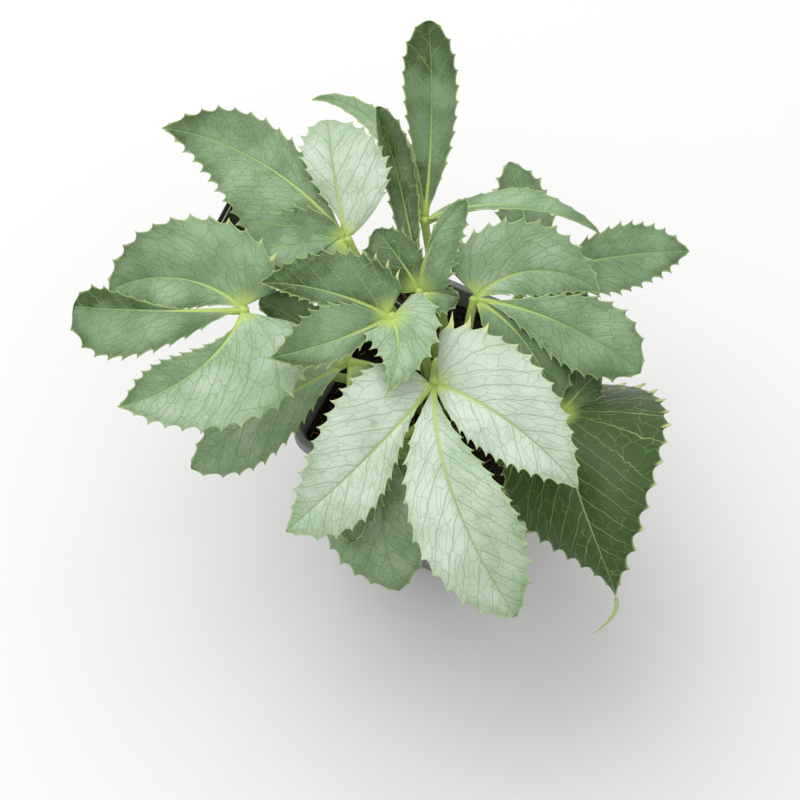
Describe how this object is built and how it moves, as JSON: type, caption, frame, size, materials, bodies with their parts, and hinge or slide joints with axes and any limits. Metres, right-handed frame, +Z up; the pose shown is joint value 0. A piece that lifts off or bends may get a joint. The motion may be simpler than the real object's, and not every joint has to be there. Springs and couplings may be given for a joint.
{
  "type": "hellebore plant in a pot",
  "caption": "Young hellebore plant with toothed grey-green leaflets on arching stalks, rooted in dark compost in a square tapered nursery pot with a stake label.",
  "frame": {"origin": "middle of the pot's underside", "axes": "+Z up; X and Y along the pot's sides"},
  "size_m": [0.2251, 0.1852, 0.1881],
  "materials": {
    "pot_plastic": "matte grey moulded plastic",
    "compost": "dark crumbly peat compost with tan fibres",
    "label_plastic": "satin black plastic with a thin cream frame line",
    "leaf_green": "leathery grey-green with a satin bloom and a fine net of veins"
  },
  "bodies": {
    "root": {"pot": "pot_plastic", "soil": "compost", "plant_label": "label_plastic", "leaf_front": "leaf_green", "leaf_young": "leaf_green", "leaf_centre": "leaf_green", "leaf_tall": "leaf_green", "leaf_back_left": "leaf_green", "leaf_left": "leaf_green", "leaf_right": "leaf_green", "leaf_back_right": "leaf_green", "leaf_low_left": "leaf_green", "leaf_bottom": "leaf_green", "leaf_drooping": "leaf_green"}
  },
  "joints": []
}
